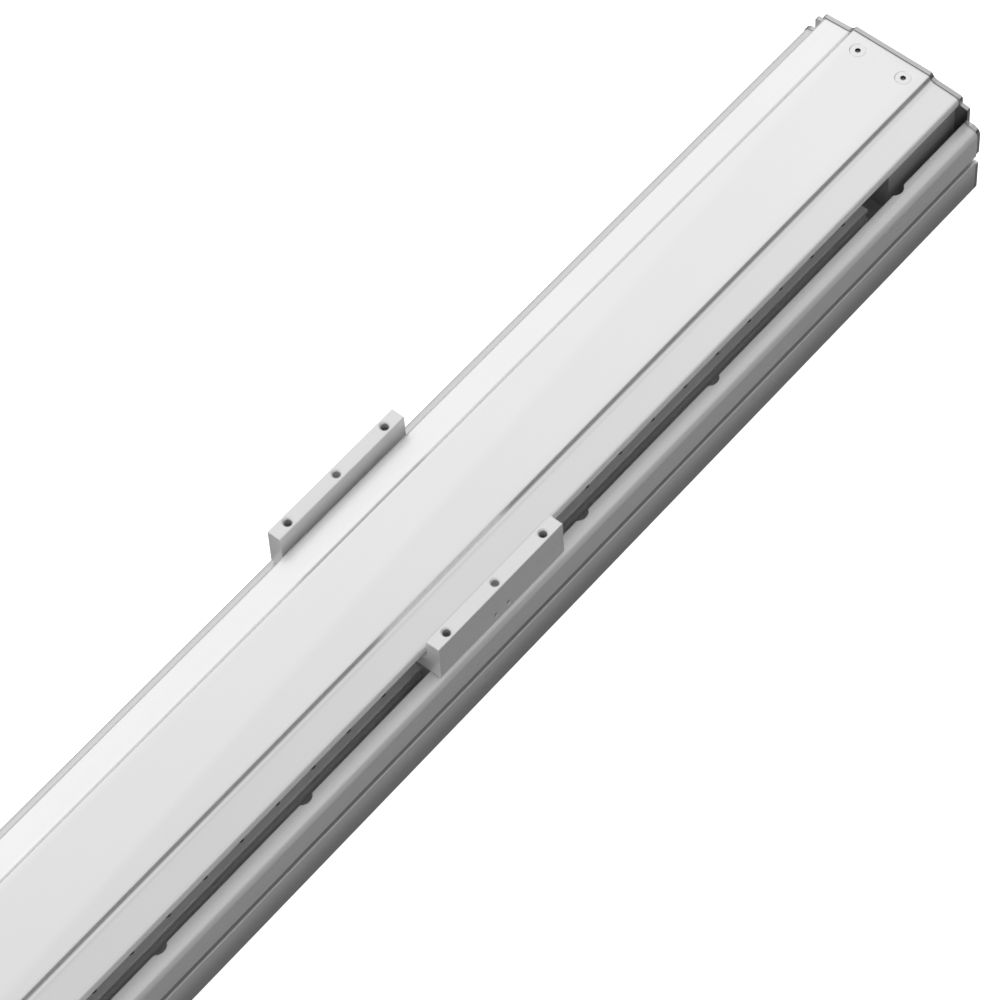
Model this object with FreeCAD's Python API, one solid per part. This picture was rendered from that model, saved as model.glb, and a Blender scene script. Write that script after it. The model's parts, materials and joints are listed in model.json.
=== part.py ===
import FreeCAD, Part
import math
import os

# Belt driven linear module. X runs along the travel, +X towards the idler end,
# Z is up, and the origin is the middle of the base's underside. Millimetres.

# Overall sizes
base_length = 1470.0
base_width = 220.0

# Base extrusion
floor_thickness = 10.0
channel_side_gap = 2.0
channel_round = 1.5
wall_round = 10.0
lip_inset = 18.5
lip_height = 4.0
lip_overhang = 5.5
lip_chamfer = 0.8
edge_chamfer = 1.0
shoulder_height = 3.0
slot_centre_z = 49.0
slot_opening = 9.6
slot_lip = 4.5
slot_chamfer = 0.6
slot_head_height = 17.0
slot_head_depth = 5.0
chamber_wall = 5.0
chamber_floor = 8.0
chamber_roof = 9.0
chamber_hole_wall = 5.5
mount_bolt_inset = 24.0
mount_hole_r = 4.5
notch_r = 10.5
mount_pitch = 200.0
mount_end_gap = 107.0
mount_second_gap = 401.0

# Guide rails and blocks
rail_width = 23.0
rail_height = 22.0
rail_inset = 45.7
rail_waist = 2.2
rail_groove_low = 7.0
rail_groove_high = 17.5
rail_groove_slope = 3.5
rail_end_gap = 26.0
guide_height = 40.0
block_width = 48.0
block_drop = 34.0
block_length = 71.0
block_cap = 5.0
block_cap_inset = 1.0
block_end_gap = 5.0
guide_gap = 0.4

# Slider table
table_length = 180.0
table_gap = 2.0
table_plate = 17.0
upright_height = 48.1
upright_width = 15.35
upright_inset = 4.4
upright_fillet = 4.0
upright_chamfer = 0.6
table_hole_pitch = 70.0
table_hole_r = 4.25
table_hole_depth = 25.0
hole_flare = 1.4
dowel_r = 4.0
dowel_depth = 10.0
flag_hole_r = 2.5
flag_hole_flare = 0.8
flag_hole_depth = 9.0
flag_hole_spacing = 18.0
flag_hole_z = 10.5

# Top cover
cover_wall = 3.5
cover_gap = 5.2
cover_rim_rise = 4.2
cover_rim_height = 9.6
cover_rim_round = 4.0
cover_slope = 2.3
cover_step = 6.4
cover_step_run = 3.0
cover_step_edge = 2.0
cover_step_round = 8.0
cover_step_shift = 2.0
cover_panel_half = 47.6
cover_end_chamfer = 0.5

# Belt drive
tooth_pitch = 10.0
pulley_teeth = 20
tooth_root_half = 2.65
tooth_height = 2.5
tooth_slope = math.radians(20.0)
belt_back = 2.0
pitch_line_offset = 0.93
belt_width = 50.0
belt_floor_gap = 7.1
mesh_gap = 0.3
axis_inset = 65.0
pulley_side_gap = 0.5
flange_thickness = 1.5
flange_rise = 2.1

# Belt clamp
clamp_plate_height = 12.3
clamp_length = 114.0
clamp_block_gap = 4.3
clamp_jaw_height = 12.6
clamp_side_gap = 1.0
clamp_bolt_x = 42.0
clamp_bolt_flats = 8.0
clamp_bolt_head = 5.0

# Drive shaft, its bearings and housings
shaft_r = 12.5
stub_r = 10.0
stub_reach = 40.0
running_gap = 0.03
seat_gap = 0.05
free_gap = 0.3
key_width = 8.0
key_height = 7.0
key_length = 45.0
drive_bearing_width = 15.0
housing_r = 32.0
housing_bore_r = 16.0
housing_inner_gap = 2.0
shaft_end_gap = 1.0

# Motor flange and bearing cap
flange_side = 96.0
flange_corner = 6.0
motor_flange_thickness = 14.0
pilot_r = 35.0
pilot_depth = 5.0
motor_pcd = 90.0
motor_hole_r = 2.5
flange_bore_r = 20.0
cap_r = 44.0
cap_thickness = 8.0
cap_screw_circle_r = 37.0
cap_screw_flats = 8.0
cap_screw_head = 4.0

# Idler
idler_shaft_r = 10.0
fork_cheek = 11.5
fork_gap = 1.5
fork_front = 25.0
fork_web_gap = 5.0
fork_web = 12.0
fork_top = 5.0
fork_chamfer = 8.0
tension_screw_r = 4.0
tension_half = 18.0
tension_flats = 13.0
tension_head = 8.0
tension_bite = 8.0

# End blocks, end plates, bumpers
end_block_length = 109.0
end_block_side_gap = 0.5
end_block_foot_gap = 0.5
end_block_roof_gap = 6.0
end_block_shelf_gap = 1.2
end_block_land_half = 40.0
plate_thickness = 4.5
plate_proud = 1.5
plate_bump = 11.0
plate_bump_round = 3.0
plate_notch_depth = 9.5
plate_bolt_flats = 10.0
plate_bolt_head = 3.5
plate_low_bolt_z = 24.0
plate_high_bolt_z = 94.0
plate_high_bolt_y = 62.0
bumper_r = 9.0
bumper_length = 20.0
bumper_y = 60.0

# How far a cut runs past the face it opens
past = 1.0

# Worked out from the sizes above
half_length = base_length / 2
half_width = base_width / 2
axis_x = tooth_pitch * round((half_length - axis_inset) / tooth_pitch)
pitch_r = tooth_pitch * pulley_teeth / (2 * math.pi)
belt_root_r = pitch_r - pitch_line_offset
belt_back_r = belt_root_r + belt_back
axis_z = floor_thickness + belt_floor_gap + belt_back_r
belt_top_z = axis_z + belt_back_r
table_z = belt_top_z + mesh_gap + clamp_plate_height
ledge_z = table_z - guide_height
wall_top_z = table_z - table_gap
lip_y = half_width - lip_inset
wall_inner_y = lip_y + lip_overhang
rail_y = half_width - rail_inset
upright_out_y = half_width - upright_inset
upright_in_y = upright_out_y - upright_width
upright_y = upright_out_y - upright_width / 2
table_top_z = table_z + table_plate
upright_top_z = table_z + upright_height
cover_half = upright_in_y - cover_gap
cover_rim_z = table_top_z + cover_rim_rise
cover_edge_z = cover_rim_z + cover_rim_height
cover_foot_z = cover_edge_z + cover_slope
cover_top_z = cover_foot_z + cover_step
slot_low_z = slot_centre_z - slot_opening / 2
slot_high_z = slot_centre_z + slot_opening / 2
head_low_z = slot_centre_z - slot_head_height / 2
head_high_z = slot_centre_z + slot_head_height / 2
slot_neck_y = half_width - slot_lip
mount_y = half_width - mount_bolt_inset
pulley_half = belt_width / 2 + pulley_side_gap
pulley_side = pulley_half + flange_thickness
end_block_start = half_length - end_block_length
rail_half = end_block_start - rail_end_gap
plate_face_x = half_length + plate_thickness
fork_in_y = pulley_side + fork_gap
fork_out_y = fork_in_y + fork_cheek
fork_web_x = axis_x + belt_back_r + fork_web_gap
channel_half = fork_out_y + channel_side_gap
clamp_inner = belt_width / 2 + clamp_side_gap
clamp_half = rail_y - block_width / 2 - clamp_block_gap


def vector(x, y, z):
    return FreeCAD.Vector(x, y, z)


def rounded_wire(corners, place):
    """Closed outline through the corners. A third value rounds a corner, or chamfers it if negative."""
    points = [FreeCAD.Vector(c[0], c[1], 0) for c in corners]
    spans = []
    for index, corner in enumerate(corners):
        here = points[index]
        back = points[index - 1] - here
        ahead = points[(index + 1) % len(points)] - here
        size = corner[2] if len(corner) > 2 else 0
        if not size:
            spans.append((here, None, here))
            continue
        back.normalize()
        ahead.normalize()
        half_turn = back.getAngle(ahead) / 2
        reach = size / math.tan(half_turn) if size > 0 else -size
        first = here + back * reach
        last = here + ahead * reach
        middle = None
        if size > 0:
            inward = (back + ahead).normalize()
            centre = here + inward * (size / math.sin(half_turn))
            middle = centre - inward * size
        spans.append((first, middle, last))
    edges = []
    for index, (first, middle, last) in enumerate(spans):
        before = spans[index - 1][2]
        if before.distanceToPoint(first) > 1e-6:
            edges.append(Part.LineSegment(place(before), place(first)).toShape())
        if middle is not None:
            edges.append(Part.Arc(place(first), place(middle), place(last)).toShape())
        elif first.distanceToPoint(last) > 1e-6:
            edges.append(Part.LineSegment(place(first), place(last)).toShape())
    return Part.Wire(edges)


def along_x(corners, start, length):
    """Solid with a section of (y, z) corners, from x = start over the length."""
    def place(p):
        return vector(start, p.x, p.y)
    return Part.Face(rounded_wire(corners, place)).extrude(vector(length, 0, 0))


def along_y(corners, start, length):
    """Solid with a side view of (x, z) corners, from y = start over the length."""
    def place(p):
        return vector(p.x, start, p.y)
    return Part.Face(rounded_wire(corners, place)).extrude(vector(0, length, 0))


def along_z(corners, start, length):
    """Solid with a plan of (x, y) corners, from z = start over the length."""
    def place(p):
        return vector(p.x, p.y, start)
    return Part.Face(rounded_wire(corners, place)).extrude(vector(0, 0, length))


def mirrored(half):
    """Whole symmetric outline from the corners on the +Y side."""
    other = [(-c[0], *c[1:]) for c in reversed(half)]
    return list(half) + other


def rectangle(low_u, low_v, high_u, high_v, corner=0):
    return [
        (low_u, low_v, corner),
        (high_u, low_v, corner),
        (high_u, high_v, corner),
        (low_u, high_v, corner),
    ]


def box(low, high):
    size = [b - a for a, b in zip(low, high)]
    return Part.makeBox(*size, vector(*low))


def pin(radius, start, finish):
    """Round bar between two points."""
    run = vector(*finish) - vector(*start)
    return Part.makeCylinder(radius, run.Length, vector(*start), run)


def cross_pin(radius, x, reach):
    """Round bar on a pulley's axis, to the same reach on both sides."""
    return pin(radius, (x, -reach, axis_z), (x, reach, axis_z))


def hexagon(across, start, finish):
    """Six-sided bar between two points, by its width across the flats."""
    foot = vector(*start)
    run = vector(*finish) - foot
    up = vector(1, 0, 0) if run.x == 0 else vector(0, 0, 1)
    side = run.cross(up).normalize()
    radius = across / math.sqrt(3)
    corners = []
    for step in range(6):
        angle = step * math.pi / 3
        corners.append(foot + (up * math.cos(angle) + side * math.sin(angle)) * radius)
    return Part.Face(Part.makePolygon(corners + corners[:1])).extrude(run)


def turned(outline, x):
    """Ring turned about the cross axis at x, from (radius, y) corners."""
    def place(p):
        return vector(x + p.x, p.y, axis_z)
    face = Part.Face(rounded_wire(outline, place))
    return face.revolve(vector(x, 0, axis_z), vector(0, 1, 0), 360)


def flip_x(shape):
    return shape.mirror(vector(0, 0, 0), vector(1, 0, 0))


def flip_y(shape):
    return shape.mirror(vector(0, 0, 0), vector(0, 1, 0))


def both_sides(shape):
    return [shape, flip_y(shape)]


def mount_hole_xs():
    """Mounting holes: one near each end, and an even pitch between that starts from the idler end."""
    last = mount_end_gap - half_length
    xs = [half_length - mount_end_gap, last]
    x = half_length - mount_second_gap
    while x > last + mount_pitch / 2:
        xs.append(x)
        x -= mount_pitch
    return xs


def base_outline():
    half = [
        (half_width, 0, -edge_chamfer),
        (half_width, slot_low_z, -slot_chamfer),
        (slot_neck_y, slot_low_z),
        (slot_neck_y, head_low_z),
        (slot_neck_y - slot_head_depth, head_low_z),
        (slot_neck_y - slot_head_depth, head_high_z),
        (slot_neck_y, head_high_z),
        (slot_neck_y, slot_high_z),
        (half_width, slot_high_z, -slot_chamfer),
        (half_width, wall_top_z, wall_round),
        (lip_y, wall_top_z, -lip_chamfer),
        (lip_y, wall_top_z - lip_height),
        (wall_inner_y, wall_top_z - lip_height - lip_overhang),
        (wall_inner_y, ledge_z),
        (rail_y - rail_width / 2, ledge_z),
        (rail_y - rail_width / 2, ledge_z + shoulder_height),
        (channel_half, ledge_z + shoulder_height),
        (channel_half, floor_thickness, channel_round),
    ]
    return mirrored(half)


def base_extrusion():
    high_y = mount_y - mount_hole_r - chamber_hole_wall
    chamber = rectangle(channel_half + chamber_wall, chamber_floor, high_y, ledge_z - chamber_roof)
    body = along_x(base_outline(), -half_length, base_length)
    cuts = both_sides(along_x(chamber, -half_length, base_length))
    for x in mount_hole_xs():
        hole = pin(mount_hole_r, (x, mount_y, -past), (x, mount_y, ledge_z + past))
        notch_low = wall_top_z - lip_height - lip_overhang
        notch = pin(notch_r, (x, mount_y, notch_low), (x, mount_y, wall_top_z + past))
        cuts += both_sides(hole) + both_sides(notch)
    bore_r = housing_r + seat_gap
    cuts.append(cross_pin(bore_r, -axis_x, half_width + past))
    return body.cut(cuts)


def rail_corners(grow=0.0):
    """Rail section about its own centre line, ledge at zero, grown by a gap for the blocks."""
    side = rail_width / 2 + grow
    waist = rail_width / 2 - rail_waist + grow
    lower = rail_groove_low + rail_groove_slope
    upper = rail_groove_high - rail_groove_slope
    return [
        (side, rail_groove_low),
        (waist, lower),
        (waist, upper),
        (side, rail_groove_high),
        (side, rail_height + grow, -edge_chamfer),
    ]


def guide_rail():
    half = [(rail_width / 2, 0)] + rail_corners()
    section = [(rail_y + c[0], ledge_z + c[1], *c[2:]) for c in mirrored(half)]
    return along_x(section, -rail_half, 2 * rail_half)


def block_section(inset):
    """Guide block section: a saddle over the rail."""
    low = guide_height - block_drop + inset
    high = guide_height - inset
    side = block_width / 2 - inset
    saddle = [(side, low), (side, high, -edge_chamfer)]
    inner = rail_corners(guide_gap)[:-1] + [(rail_width / 2 + guide_gap, rail_height + guide_gap)]
    inner = [(rail_width / 2 + guide_gap, low)] + inner
    half = list(reversed(inner)) + saddle
    return [(rail_y + c[0], ledge_z + c[1], *c[2:]) for c in mirrored(half)]


def block_starts():
    """Where the two steel block bodies on a rail start, at rest."""
    far = table_length / 2 - block_end_gap - block_cap - block_length
    return [far, -far - block_length]


def guide_block(start):
    return along_x(block_section(0), start, block_length)


def block_caps():
    caps = []
    for start in block_starts():
        for x in (start - block_cap, start + block_length):
            caps += both_sides(along_x(block_section(block_cap_inset), x, block_cap))
    return caps


def flared_hole(radius, depth, flare, mouth, inward):
    """Cuts for a blind hole with a flare at its mouth."""
    hole = Part.makeCylinder(radius, depth, mouth, inward)
    return [hole, Part.makeCone(radius + flare, radius, flare, mouth, inward)]


def slider_table():
    half = [
        (upright_out_y, table_z, -upright_chamfer),
        (upright_out_y, upright_top_z, -upright_chamfer),
        (upright_in_y, upright_top_z, -upright_chamfer),
        (upright_in_y, table_top_z, upright_fillet),
    ]
    end = table_length / 2
    body = along_x(mirrored(half), -end, table_length)
    low = upright_top_z - upright_chamfer
    corner = [(end, low), (end, upright_top_z), (end - upright_chamfer, upright_top_z)]
    bevel = along_y(corner, -upright_out_y, 2 * upright_out_y)
    cuts = [bevel, flip_x(bevel)]
    for x in (-table_hole_pitch, 0, table_hole_pitch):
        radius = table_hole_r if x else dowel_r
        depth = table_hole_depth if x else dowel_depth
        mouth = vector(x, upright_y, upright_top_z)
        for cut in flared_hole(radius, depth, hole_flare, mouth, vector(0, 0, -1)):
            cuts += both_sides(cut)
    for x in (-flag_hole_spacing / 2, flag_hole_spacing / 2):
        mouth = vector(x, -upright_out_y, table_z + flag_hole_z)
        cuts += flared_hole(flag_hole_r, flag_hole_depth, flag_hole_flare, mouth, vector(0, 1, 0))
    return body.cut(cuts)


def cover_outline():
    foot = cover_panel_half + cover_step_run
    inner = cover_half - cover_wall
    half = [
        (cover_panel_half - cover_step_shift, cover_top_z - cover_wall, cover_step_edge + cover_wall),
        (foot - cover_step_shift, cover_foot_z - cover_wall, cover_step_round - cover_wall),
        (inner, cover_edge_z - cover_wall, -edge_chamfer),
        (inner, cover_rim_z),
        (cover_half, cover_rim_z, -edge_chamfer / 2),
        (cover_half, cover_edge_z, cover_rim_round),
        (foot, cover_foot_z, cover_step_round),
        (cover_panel_half, cover_top_z, cover_step_edge),
    ]
    return mirrored(half)


def top_cover():
    """Cover with a bevel round the outer side of both ends."""
    body = along_x(cover_outline(), -half_length, base_length)
    ends = []
    for face in body.Faces:
        low_u, high_u, low_v, high_v = face.ParameterRange
        normal = face.normalAt((low_u + high_u) / 2, (low_v + high_v) / 2)
        if normal.z + math.copysign(normal.y, normal.y * face.CenterOfMass.y) > 0.5:
            ends += [edge for edge in face.Edges if abs(edge.tangentAt(edge.FirstParameter).x) < 0.5]
    return body.makeChamfer(cover_end_chamfer, ends)


def belt_loop(radius):
    """Closed line round both pulleys, on the -Y edge of the belt."""
    up = vector(0, 0, radius)
    out = vector(radius, 0, 0)
    near = vector(-axis_x, -belt_width / 2, axis_z)
    far = vector(axis_x, -belt_width / 2, axis_z)
    return Part.Wire([
        Part.LineSegment(near + up, far + up).toShape(),
        Part.Arc(far + up, far + out, far - up).toShape(),
        Part.LineSegment(far - up, near - up).toShape(),
        Part.Arc(near - up, near - out, near + up).toShape(),
    ])


def timing_belt():
    """Band of the belt without its teeth, from its tooth root to its back."""
    outer, inner = [Part.Face(belt_loop(r)) for r in (belt_back_r, belt_root_r)]
    return outer.cut(inner).extrude(vector(0, belt_width, 0))


def pulley_blank(x):
    """Toothed pulley with two flanges, no bore yet."""
    top_half = tooth_root_half - mesh_gap * math.tan(tooth_slope) + mesh_gap / math.cos(tooth_slope)
    low_half = top_half - tooth_height * math.tan(tooth_slope)
    outer = belt_root_r - mesh_gap
    groove = [(-top_half, outer), (-low_half, outer - tooth_height), (low_half, outer - tooth_height),
              (top_half, outer)]
    corners = []
    for index in range(pulley_teeth):
        angle = math.pi / 2 - index * 2 * math.pi / pulley_teeth
        for u, v in groove:
            corners.append((
                x + v * math.cos(angle) + u * math.sin(angle),
                axis_z + v * math.sin(angle) - u * math.cos(angle),
            ))
    rim = along_y(corners, -pulley_half, 2 * pulley_half)
    flange_r = belt_back_r + flange_rise
    flange = pin(flange_r, (x, pulley_half, axis_z), (x, pulley_side, axis_z))
    return rim.fuse(both_sides(flange)).removeSplitter()


def key_box(grow):
    half = key_width / 2 + grow
    low = axis_z + shaft_r - key_height / 2
    return box((-axis_x - half, -key_length / 2, low), (-axis_x + half, key_length / 2, low + key_height))


def drive_pulley():
    bore = cross_pin(shaft_r + seat_gap, -axis_x, pulley_side + past)
    low = axis_z
    high = axis_z + shaft_r + key_height / 2 + free_gap
    half = key_width / 2 + seat_gap
    keyway = box((-axis_x - half, -pulley_side - past, low), (-axis_x + half, pulley_side + past, high))
    return pulley_blank(-axis_x).cut([bore, keyway])


def drive_shaft():
    near = -half_width + shaft_end_gap
    step = half_width
    outline = [
        (0, near),
        (shaft_r, near, -edge_chamfer),
        (shaft_r, step),
        (stub_r, step),
        (stub_r, half_width + stub_reach, -edge_chamfer),
        (0, half_width + stub_reach),
    ]
    return turned(outline, -axis_x).cut(key_box(seat_gap))


def drive_bearing_unit():
    """Sleeve in the side wall of the base, with the shaft's bearing in its outer end."""
    bearing_r = shaft_r + running_gap
    inner_y = channel_half + housing_inner_gap
    outline = [
        (housing_bore_r, inner_y),
        (housing_r, inner_y),
        (housing_r, half_width),
        (bearing_r, half_width),
        (bearing_r, half_width - drive_bearing_width),
        (housing_bore_r, half_width - drive_bearing_width),
    ]
    return turned(outline, -axis_x)


def motor_flange():
    half = flange_side / 2
    face_y = half_width + motor_flange_thickness
    square = rectangle(-axis_x - half, axis_z - half, -axis_x + half, axis_z + half, flange_corner)
    plate = along_y(square, half_width, motor_flange_thickness)
    cuts = [
        pin(flange_bore_r, (-axis_x, half_width - past, axis_z), (-axis_x, face_y + past, axis_z)),
        pin(pilot_r, (-axis_x, face_y - pilot_depth, axis_z), (-axis_x, face_y + past, axis_z)),
    ]
    reach = motor_pcd / 2 * math.cos(math.pi / 4)
    for dx in (-reach, reach):
        for dz in (-reach, reach):
            x = -axis_x + dx
            z = axis_z + dz
            cuts.append(pin(motor_hole_r, (x, half_width - past, z), (x, face_y + past, z)))
    return plate.cut(cuts)


def bearing_cap():
    return flip_y(pin(cap_r, (-axis_x, half_width, axis_z), (-axis_x, half_width + cap_thickness, axis_z)))


def cap_screw_spots():
    """Four spots round the drive axis, above, below and to each side."""
    reach = cap_screw_circle_r
    return [(-axis_x + dx, axis_z + dz) for dx, dz in ((reach, 0), (-reach, 0), (0, reach), (0, -reach))]


def bearing_cap_screws():
    face_y = half_width + cap_thickness
    return [flip_y(hexagon(cap_screw_flats, (x, face_y, z), (x, face_y + cap_screw_head, z)))
            for x, z in cap_screw_spots()]


def idler_pulley():
    """Idler pulley with the bearings in its hub, which run on the fixed shaft."""
    return pulley_blank(axis_x).cut(cross_pin(idler_shaft_r + running_gap, axis_x, pulley_side + past))


def idler_shaft():
    return cross_pin(idler_shaft_r, axis_x, fork_out_y)


def idler_fork():
    front = axis_x - fork_front
    end = fork_web_x + fork_web
    half = [(end, fork_out_y), (front, fork_out_y), (front, fork_in_y), (fork_web_x, fork_in_y)]
    other = [(c[0], -c[1], *c[2:]) for c in reversed(half)]
    high = belt_top_z + fork_top
    body = along_z(half + other, floor_thickness, high - floor_thickness)
    hole = cross_pin(idler_shaft_r + seat_gap, axis_x, fork_out_y + past)
    corner = [(front, high), (front + fork_chamfer, high), (front, high - fork_chamfer)]
    bevel = along_y(corner, -fork_out_y, 2 * fork_out_y)
    holes = []
    for y in (-tension_half, tension_half):
        deep = (end - tension_bite, y, axis_z)
        holes.append(pin(tension_screw_r + seat_gap, deep, (end + past, y, axis_z)))
    return body.cut([hole, bevel] + holes)


def tension_screws():
    end = fork_web_x + fork_web
    screws = []
    for y in (-tension_half, tension_half):
        shank = pin(tension_screw_r, (end - tension_bite, y, axis_z), (plate_face_x, y, axis_z))
        head = hexagon(tension_flats, (plate_face_x, y, axis_z), (plate_face_x + tension_head, y, axis_z))
        screws.append(shank.fuse(head))
    return screws


def idler_end_block():
    side = cover_half - cover_wall - end_block_side_gap
    foot = rail_y - rail_width / 2 + end_block_foot_gap
    roof = belt_top_z + fork_top + end_block_roof_gap
    shelf = cover_edge_z - cover_wall - end_block_shelf_gap
    half = [
        (foot, roof, cover_rim_round),
        (foot, ledge_z),
        (side, ledge_z),
        (side, shelf, -edge_chamfer),
        (end_block_land_half, shelf),
        (end_block_land_half, cover_top_z - cover_wall, -edge_chamfer),
    ]
    return along_x(mirrored(half), end_block_start, end_block_length)


def drive_end_block():
    return flip_x(idler_end_block()).cut(cross_pin(housing_r + free_gap, -axis_x, half_width))


def plate_outline():
    """End plate: the outlines of base, slot and cover, standing a little proud of them."""
    foot = cover_panel_half + cover_step_run
    edge = cover_half + plate_proud
    bump = cover_half + plate_bump
    bump_top = cover_rim_z
    half = [
        (half_width, 0, -edge_chamfer),
        (half_width, head_low_z),
        (half_width - plate_notch_depth, head_low_z),
        (half_width - plate_notch_depth, head_high_z),
        (half_width, head_high_z),
        (half_width, wall_top_z + plate_proud, wall_round),
        (bump, wall_top_z + plate_proud),
        (bump, bump_top, plate_bump_round),
        (edge, bump_top + plate_proud),
        (edge, cover_edge_z + plate_proud, cover_rim_round),
        (foot, cover_foot_z + plate_proud, cover_step_round),
        (cover_panel_half, cover_top_z + plate_proud, cover_step_edge),
    ]
    return mirrored(half)


def idler_end_plate():
    plate = along_x(plate_outline(), half_length, plate_thickness)
    hole_r = tension_screw_r + free_gap
    holes = [pin(hole_r, (half_length - past, y, axis_z), (plate_face_x + past, y, axis_z))
             for y in (-tension_half, tension_half)]
    return plate.cut(holes)


def drive_end_plate():
    return along_x(plate_outline(), -plate_face_x, plate_thickness)


def end_plate_bolts():
    """Bolts that hold both end plates to the base and to the end blocks."""
    bolts = []
    for y, z in ((mount_y, plate_low_bolt_z), (plate_high_bolt_y, plate_high_bolt_z)):
        head = hexagon(plate_bolt_flats, (plate_face_x, y, z), (plate_face_x + plate_bolt_head, y, z))
        bolts += both_sides(head) + both_sides(flip_x(head))
    return bolts


def stop_bumpers():
    z = table_z + table_plate / 2
    bumper = pin(bumper_r, (end_block_start - bumper_length, bumper_y, z), (end_block_start, bumper_y, z))
    return both_sides(bumper) + both_sides(flip_x(bumper))


def belt_clamp_plate():
    low = belt_top_z + mesh_gap
    half = clamp_length / 2
    return box((-half, -clamp_half, low), (half, clamp_half, table_z))


def belt_clamp_jaw():
    """Toothed jaw under the upper run, with side cheeks that reach up to the clamp plate."""
    half = clamp_length / 2
    top = axis_z + belt_root_r - mesh_gap
    low = top - clamp_jaw_height
    top_half = tooth_root_half - mesh_gap * math.tan(tooth_slope) + mesh_gap / math.cos(tooth_slope)
    low_half = top_half - tooth_height * math.tan(tooth_slope)
    corners = [(half, low), (half, top)]
    count = int((half - top_half) // tooth_pitch)
    for index in range(count, -count - 1, -1):
        x = index * tooth_pitch
        corners += [(x + top_half, top), (x + low_half, top - tooth_height)]
        corners += [(x - low_half, top - tooth_height), (x - top_half, top)]
    corners += [(-half, top), (-half, low)]
    jaw = along_y(corners, -clamp_inner, 2 * clamp_inner)
    cheek = box((-half, clamp_inner, low), (half, clamp_half, belt_top_z + mesh_gap))
    return jaw.fuse(both_sides(cheek)).removeSplitter()


def belt_clamp_bolts():
    top = axis_z + belt_root_r - mesh_gap - clamp_jaw_height
    y = (clamp_half + clamp_inner) / 2
    bolts = []
    for x in (-clamp_bolt_x, clamp_bolt_x):
        head = hexagon(clamp_bolt_flats, (x, y, top - clamp_bolt_head), (x, y, top))
        bolts += both_sides(head)
    return bolts


def write(name, shapes):
    solids = []
    for shape in shapes if isinstance(shapes, list) else [shapes]:
        solids += shape.Solids
    whole = solids[0] if len(solids) == 1 else Part.makeCompound(solids)
    whole.exportStep(os.path.join("parts", name + ".step"))


def main():
    os.makedirs("parts", exist_ok=True)
    rail = guide_rail()
    front, rear = [guide_block(start) for start in block_starts()]
    pieces = {
        "base_extrusion": base_extrusion(),
        "top_cover": top_cover(),
        "guide_rail_left": rail,
        "guide_rail_right": flip_y(rail),
        "slider_table": slider_table(),
        "guide_block_left_front": front,
        "guide_block_left_rear": rear,
        "guide_block_right_front": flip_y(front),
        "guide_block_right_rear": flip_y(rear),
        "guide_block_end_caps": block_caps(),
        "belt_clamp_plate": belt_clamp_plate(),
        "belt_clamp_jaw": belt_clamp_jaw(),
        "belt_clamp_bolts": belt_clamp_bolts(),
        "timing_belt": timing_belt(),
        "drive_pulley": drive_pulley(),
        "drive_shaft": drive_shaft(),
        "drive_key": key_box(0),
        "drive_bearing_unit_left": drive_bearing_unit(),
        "drive_bearing_unit_right": flip_y(drive_bearing_unit()),
        "motor_flange": motor_flange(),
        "bearing_cap": bearing_cap(),
        "bearing_cap_screws": bearing_cap_screws(),
        "idler_pulley": idler_pulley(),
        "idler_shaft": idler_shaft(),
        "idler_fork": idler_fork(),
        "tension_screws": tension_screws(),
        "idler_end_block": idler_end_block(),
        "drive_end_block": drive_end_block(),
        "idler_end_plate": idler_end_plate(),
        "drive_end_plate": drive_end_plate(),
        "end_plate_bolts": end_plate_bolts(),
        "stop_bumpers": stop_bumpers(),
    }
    for name, shapes in pieces.items():
        write(name, shapes)


main()
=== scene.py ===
import json
import math

import bmesh
import bpy
from bpy.props import FloatProperty, FloatVectorProperty, IntProperty, PointerProperty
from mathutils import Matrix, Vector


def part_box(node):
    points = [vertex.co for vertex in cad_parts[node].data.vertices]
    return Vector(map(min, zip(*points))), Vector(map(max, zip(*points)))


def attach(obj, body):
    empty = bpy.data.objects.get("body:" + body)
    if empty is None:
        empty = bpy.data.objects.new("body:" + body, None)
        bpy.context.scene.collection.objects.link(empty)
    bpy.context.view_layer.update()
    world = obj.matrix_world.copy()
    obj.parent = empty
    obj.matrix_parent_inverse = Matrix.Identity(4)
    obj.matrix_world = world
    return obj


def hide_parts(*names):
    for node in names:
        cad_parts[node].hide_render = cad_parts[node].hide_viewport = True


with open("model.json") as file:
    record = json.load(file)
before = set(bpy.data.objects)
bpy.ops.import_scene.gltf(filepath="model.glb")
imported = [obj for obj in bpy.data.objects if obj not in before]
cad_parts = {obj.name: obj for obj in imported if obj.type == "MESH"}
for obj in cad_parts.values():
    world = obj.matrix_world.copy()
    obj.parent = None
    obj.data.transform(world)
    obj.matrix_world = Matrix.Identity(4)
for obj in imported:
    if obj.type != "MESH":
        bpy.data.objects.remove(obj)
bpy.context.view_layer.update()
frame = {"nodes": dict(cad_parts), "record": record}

bl_info = {
    "name": "Belt Driven Linear Module",
    "version": (1, 0, 0),
    "blender": (4, 5, 0),
    "location": "3D View > Sidebar > Linear Module",
    "description": "Finishes, screws and studio for a belt driven linear module",
    "category": "Object",
}

UP = Vector((0, 0, 1))
MOTOR_SIDE = Vector((0, 1, 0))
IDLER_END = Vector((1, 0, 0))

BASE_LOW, BASE_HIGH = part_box("base_extrusion")
COVER_LOW, COVER_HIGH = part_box("top_cover")
RAIL_LOW, RAIL_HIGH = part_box("guide_rail_left")
FLANGE_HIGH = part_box("motor_flange")[1]
SHAFT_LOW, SHAFT_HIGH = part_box("drive_shaft")
BELT_LOW, BELT_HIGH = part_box("timing_belt")

# An edge with a greater angle stays sharp.
SHARP = math.radians(32)

# Points this near each other, in metres, become one in a CAD node's mesh and in a turned mesh.
NODE_MERGE = 1e-6
TURNED_MERGE = 1e-7

# The record's mounts give their sizes in millimetres.
MM_PER_M = 1000

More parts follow.
